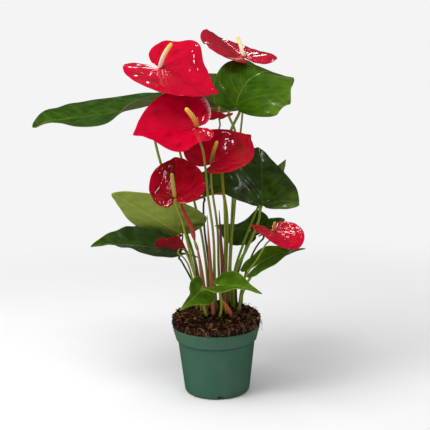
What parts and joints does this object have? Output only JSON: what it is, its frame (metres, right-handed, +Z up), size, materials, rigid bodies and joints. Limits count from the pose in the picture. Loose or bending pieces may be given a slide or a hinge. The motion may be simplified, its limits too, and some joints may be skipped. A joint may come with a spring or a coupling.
{
  "type": "potted anthurium",
  "caption": "Flowering anthurium in a round plastic nursery pot: glossy heart-shaped leaves and red spathes, each with a spadix, on slender upright stalks.",
  "frame": {"origin": "centre of the underside of the pot, on the surface that it stands on", "axes": "+Z up, -Y towards the front of the plant, +X to its right as seen from the front"},
  "size_m": [0.3784, 0.2595, 0.5232],
  "materials": {
    "pot_plastic": "moulded green polypropylene, satin",
    "potting_mix": "moist bark and peat, matt and fibrous",
    "leaf_blade": "waxy leaf, glossy above and duller below",
    "spathe": "waxy lacquer-like crimson bract",
    "spadix": "finely pimpled, satin, cream to yellow",
    "petiole": "smooth green stalk, satin",
    "peduncle": "smooth yellow-green stalk, satin",
    "dry_sheath": "papery brown sheath, matt"
  },
  "bodies": {
    "root": {"pot": "pot_plastic", "root_ball": "potting_mix", "leaf_upper_right": "leaf_blade", "leaf_upper_back": "leaf_blade", "leaf_far_left": "leaf_blade", "leaf_right": "leaf_blade", "leaf_right_back": "leaf_blade", "leaf_left": "leaf_blade", "leaf_low_left": "leaf_blade", "leaf_front_left": "leaf_blade", "leaf_front_right": "leaf_blade", "leaf_low_right": "leaf_blade", "leaf_inner_right": "leaf_blade", "leaf_small_back": "leaf_blade", "leaf_inner_back": "leaf_blade", "spathe_upper_left": "spathe", "spathe_top_right": "spathe", "spathe_front": "spathe", "spathe_behind": "spathe", "spathe_middle": "spathe", "spathe_lower_left": "spathe", "spathe_small_right": "spathe", "spathe_withered": "spathe", "petiole_upper_right": "petiole", "petiole_upper_back": "petiole", "petiole_far_left": "petiole", "petiole_right": "petiole", "petiole_right_back": "petiole", "petiole_left": "petiole", "petiole_low_left": "petiole", "petiole_front_left": "petiole", "petiole_front_right": "petiole", "petiole_low_right": "petiole", "petiole_inner_right": "petiole", "petiole_small_back": "petiole", "petiole_inner_back": "petiole", "peduncle_upper_left": "peduncle", "peduncle_top_right": "peduncle", "peduncle_front": "peduncle", "peduncle_behind": "peduncle", "peduncle_middle": "peduncle", "peduncle_lower_left": "peduncle", "peduncle_small_right": "peduncle", "peduncle_withered": "peduncle", "spadix_upper_left": "spadix", "spadix_top_right": "spadix", "spadix_front": "spadix", "spadix_behind": "spadix", "spadix_middle": "spadix", "spadix_lower_left": "spadix", "spadix_small_right": "spadix", "spadix_withered": "spadix", "flower_bud": "spathe", "stalk_bud": "peduncle", "sheath_left": "dry_sheath", "sheath_middle": "dry_sheath", "sheath_right": "dry_sheath", "sheath_dry": "dry_sheath", "young_shoot": "dry_sheath", "old_stub": "dry_sheath"}
  },
  "joints": []
}
